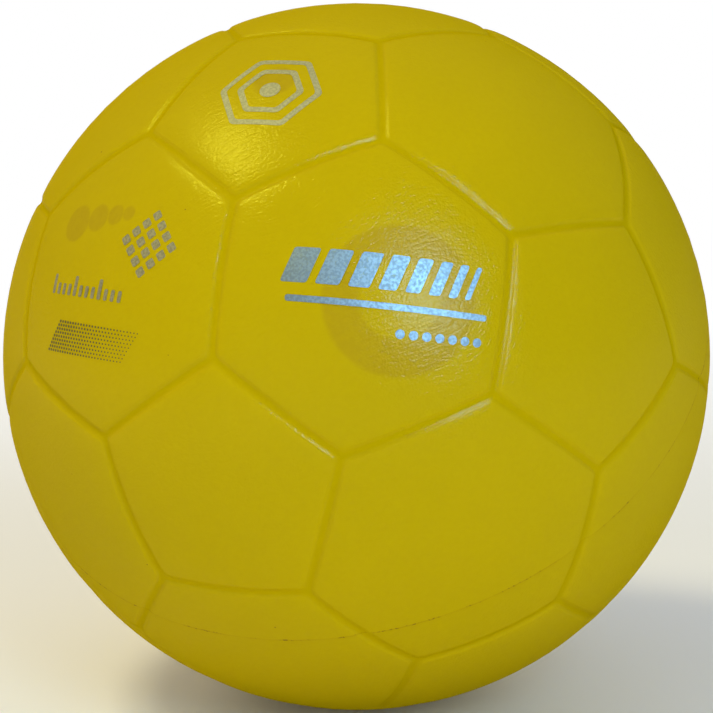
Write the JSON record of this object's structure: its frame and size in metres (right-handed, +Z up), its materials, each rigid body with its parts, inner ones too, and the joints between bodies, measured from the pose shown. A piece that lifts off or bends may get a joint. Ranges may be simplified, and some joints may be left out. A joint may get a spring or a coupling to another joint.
{
  "type": "handball",
  "caption": "Inflated ball with a moulded yellow cover in pentagon and hexagon relief, over a wound carcass and bladder, with a needle valve whose plug pulls out.",
  "frame": {"origin": "centre of the ball", "axes": "+Z up through the middle of the top hexagon, -Y towards the viewer; the valve looks out to the back and down"},
  "size_m": [0.1592, 0.1592, 0.1592],
  "materials": {
    "cover": "satin, fine leather-like grain",
    "carcass": "matte",
    "thread": "matte thread",
    "bladder": "matte",
    "valve": "matte",
    "plug": "satin",
    "core": "matte gum"
  },
  "bodies": {
    "ball": {"cover_front_half": "cover", "cover_rear_half": "cover", "carcass_rubber": "carcass", "thread_winding": "thread", "bladder": "bladder", "valve_base": "valve"},
    "plug": {"valve_plug": "plug", "valve_core": "core"}
  },
  "joints": [
    {"name": "plug_slide", "type": "slide", "parent": "ball", "child": "plug", "axis": [0, 0.6071, -0.7947], "range_m": [0, 0.022]}
  ]
}
